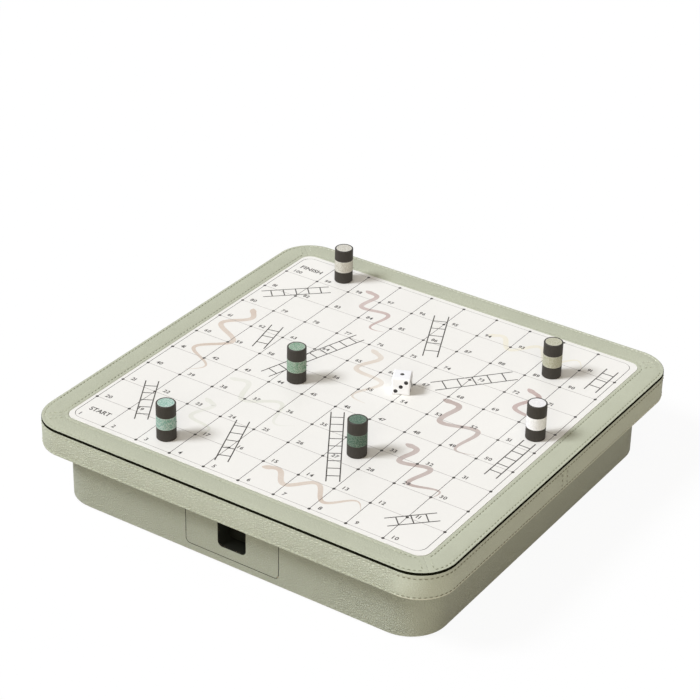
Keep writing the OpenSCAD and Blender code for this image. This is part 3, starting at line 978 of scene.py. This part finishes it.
white_plastic, shader, place = new_finish("white_die_plastic", {"Specular IOR Level": 0.35})
barrelled = place.noise(600.0, 3.0)
barrelled.mix(tint(die_white, 0.97), tint(die_white)).into(shader, "Base Color")
(0.4 + 0.12 * barrelled).into(shader, "Roughness")
barrelled.bump(0.05, 0.05 * MM).into(shader, "Normal")
pip_paint, shader, place = new_finish("black_pip_paint", {"Specular IOR Level": 0.4})
flow = place.noise(1500.0, 2.0)
flow.mix(tint(pip_black, 0.8), tint(pip_black, 1.3)).into(shader, "Base Color")
(0.35 + 0.2 * flow).into(shader, "Roughness")
dress(["die_body"], white_plastic, die_edge)
dress(["die_pips"], pip_paint, die_edge)


# Floor and light: a pale sweep under soft studio light from the left, with a fill from the front.
# The floor is brightened for the camera alone, so that it reads as white paper and keeps the board's shadow.
floor_half = 6.0
floor_gap = 0.05 * MM
floor_pale = (224, 218, 203)
floor_glow = 0.93
floor_rough = 0.9
WHITE = (1.0, 1.0, 1.0, 1.0)
room_low = 0.25
room_rise = 0.44
room_left = (0.98, 1.0, 1.04, 1.0)
room_right = (0.22, 0.13, 0.03, 1.0)
SUNS = [
    ("key_light", (-0.486, -0.478, 0.731), 2.48, 18, (0.96, 1.0, 1.085)),
    ("front_fill", (0.47, -0.78, 0.42), 1.08, 50, (1.03, 0.975, 0.89)),
]


def camera_sees(wire):
    """1 for rays that the camera, a gloss or a clear surface sends, 0 for the light that falls on things."""
    seen = wire.node("ShaderNodeLightPath", output="Is Camera Ray")
    glossy = wire.node("ShaderNodeLightPath", output="Is Glossy Ray")
    through = wire.node("ShaderNodeLightPath", output="Is Transmission Ray")
    return seen.math("MAXIMUM", seen, glossy.math("MAXIMUM", glossy, through))


white_floor, shader, place = new_finish("white_floor", {"Specular IOR Level": 0.0})
seen = camera_sees(place)
paper = place.noise(3.0, 2.0).mix(tint(floor_pale, 0.98), tint(floor_pale))
seen.mix(paper, WHITE).into(shader, "Base Color")
shader.inputs["Roughness"].default_value = floor_rough
tree = white_floor.node_tree
glow = Wire(tree.nodes.new("ShaderNodeEmission").outputs[0])
lit = glow.node("ShaderNodeMixShader", (), {0: seen * floor_glow, 1: Wire(shader.outputs[0]), 2: glow})
lit.into(tree.nodes["Material Output"], "Surface")
floor_mesh = bpy.data.meshes.new("floor")
corners = [(x * floor_half, y * floor_half, -floor_gap) for x, y in ((-1, -1), (1, -1), (1, 1), (-1, 1))]
floor_mesh.from_pydata(corners, [], [[0, 1, 2, 3]])
floor_mesh.materials.append(white_floor)
floor = bpy.data.objects.new("floor", floor_mesh)
bpy.context.scene.collection.objects.link(floor)

room = bpy.data.worlds.new("bright_room")
room.use_nodes = True
bpy.context.scene.world = room
sky = room.node_tree.nodes["Background"]
towards = Wire(room.node_tree.nodes.new("ShaderNodeTexCoord").outputs["Generated"])
seen = camera_sees(towards)
level = room_low + room_rise * towards.part(2).rise(0, 1)
seen.mix(towards.part(0).rise(-1, 1).mix(room_left, room_right), WHITE).into(sky, "Color")
(level + seen * (1 - level)).into(sky, "Strength")

for name, place, level, spread, colour in SUNS:
    sun = bpy.data.objects.new(name, bpy.data.lights.new(name, "SUN"))
    sun.data.energy = level
    sun.data.angle = math.radians(spread)
    sun.data.color = colour
    sun.rotation_euler = Vector(place).to_track_quat("Z", "Y").to_euler()
    bpy.context.scene.collection.objects.link(sun)
bpy.context.scene.view_settings.view_transform = "Standard"


# Camera: a long lens above the right end of the drawer side, as a catalogue photograph is taken.
# Its direction, tilt and distance were solved from the printed grid's dots.
camera_place = Vector((0.8984, -1.3849, 1.0755))
camera_azimuth = math.radians(33.273)
camera_elevation = math.radians(30.120)
camera_roll = math.radians(1.2835)
camera_lens = 116.549
camera_film = 36.0
camera_reach = 50.0

back = Vector((math.sin(camera_azimuth) * math.cos(camera_elevation),
               -math.cos(camera_azimuth) * math.cos(camera_elevation), math.sin(camera_elevation)))
level_right = (-back).cross(Vector((0, 0, 1))).normalized()
level_down = (-back).cross(level_right)
right = math.cos(camera_roll) * level_right - math.sin(camera_roll) * level_down
down = math.sin(camera_roll) * level_right + math.cos(camera_roll) * level_down
camera = bpy.data.objects.new("camera", bpy.data.cameras.new("camera"))
camera.data.lens = camera_lens
camera.data.sensor_width = camera_film
camera.data.clip_end = camera_reach
camera.matrix_world = Matrix.Translation(camera_place) @ Matrix((right, -down, back)).transposed().to_4x4()
bpy.context.scene.collection.objects.link(camera)
bpy.context.scene.camera = camera
